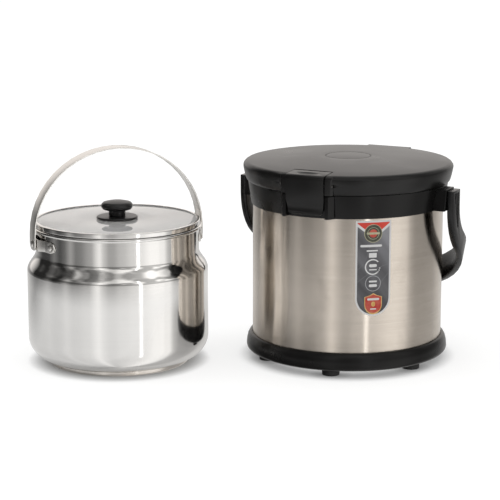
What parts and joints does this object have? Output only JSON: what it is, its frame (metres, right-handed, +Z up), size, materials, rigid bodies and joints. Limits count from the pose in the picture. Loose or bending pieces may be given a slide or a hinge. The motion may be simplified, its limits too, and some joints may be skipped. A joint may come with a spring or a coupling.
{
  "type": "thermal cooker",
  "caption": "Insulated steel carrying container with hinged latched lid and folding handle, beside the steel cooking pot with glass lid and swinging bail that it takes.",
  "frame": {"origin": "middle of the bounding box, on the surface that both units stand on", "axes": "+X from the pot to the container, +Y from the latch to the lid hinge, +Z up"},
  "size_m": [0.461, 0.373, 0.247],
  "materials": {
    "brushed_shell_steel": "vertical-lit round brushing, satin",
    "polished_steel": "polished stainless steel with faint polishing lines",
    "pin_steel": "plain bright pins",
    "black_plastic": "satin, fine grain",
    "black_gloss_plastic": "smooth",
    "foot_rubber": "matt",
    "silicone": "matt",
    "foam": "rigid foam",
    "lid_glass": "clear tempered glass"
  },
  "bodies": {
    "container": {"outer_shell": "brushed_shell_steel", "shell_bottom": "brushed_shell_steel", "inner_liner": "polished_steel", "base_ring": "black_plastic", "foot_1": "foot_rubber", "foot_2": "foot_rubber", "foot_3": "foot_rubber", "foot_4": "foot_rubber", "foot_5": "foot_rubber", "foot_6": "foot_rubber", "collar": "black_plastic", "hinge_pin": "pin_steel", "handle_pin_left": "pin_steel", "handle_pin_right": "pin_steel"},
    "lid": {"lid_cover": "black_plastic", "lid_disc": "black_plastic", "lid_liner": "polished_steel", "lid_foam": "foam", "lid_seal": "silicone", "latch_pin": "pin_steel", "latch_spring": "pin_steel"},
    "latch": {"latch_lever": "black_plastic"},
    "handle": {"carry_handle": "black_plastic"},
    "pot": {"pot_body": "polished_steel", "pot_base_disc": "brushed_shell_steel", "bail_bracket_left": "polished_steel", "bail_bracket_right": "polished_steel", "bail_pivot_left": "polished_steel", "bail_pivot_right": "polished_steel", "bracket_rivet_left_a": "polished_steel", "bracket_rivet_left_b": "polished_steel", "bracket_rivet_right_a": "polished_steel", "bracket_rivet_right_b": "polished_steel"},
    "bail": {"bail": "polished_steel"},
    "glass_lid": {"lid_glass": "lid_glass", "glass_rim_band": "polished_steel", "knob_flange": "black_gloss_plastic", "lid_knob": "black_gloss_plastic", "knob_screw": "pin_steel"}
  },
  "joints": [
    {"name": "lid_hinge", "type": "hinge", "parent": "container", "child": "lid", "pos_m": [0.09833, 0.1803, 0.2144], "axis": [-1, 0, 0], "range_deg": [0, 95]},
    {"name": "latch_rock", "type": "hinge", "parent": "lid", "child": "latch", "pos_m": [0.09833, -0.0618, 0.2168], "axis": [-1, 0, 0], "range_deg": [0, 10], "stiffness_Nm_per_rad": 0.12, "springref_deg": -8.59},
    {"name": "handle_swing", "type": "hinge", "parent": "container", "child": "handle", "pos_m": [0.09833, 0.0533, 0.1929], "axis": [1, 0, 0], "range_deg": [0, 140]},
    {"name": "pot_lift", "type": "slide", "parent": "container", "child": "pot", "axis": [0, 0, 1], "range_m": [0, 0.22]},
    {"name": "bail_swing", "type": "hinge", "parent": "pot", "child": "bail", "pos_m": [-0.12767, -0.0837, 0.1425], "axis": [0.6626, 0.749, 0], "range_deg": [-90, 90]},
    {"name": "glass_lid_lift", "type": "slide", "parent": "pot", "child": "glass_lid", "axis": [0, 0, 1], "range_m": [0, 0.008]}
  ]
}
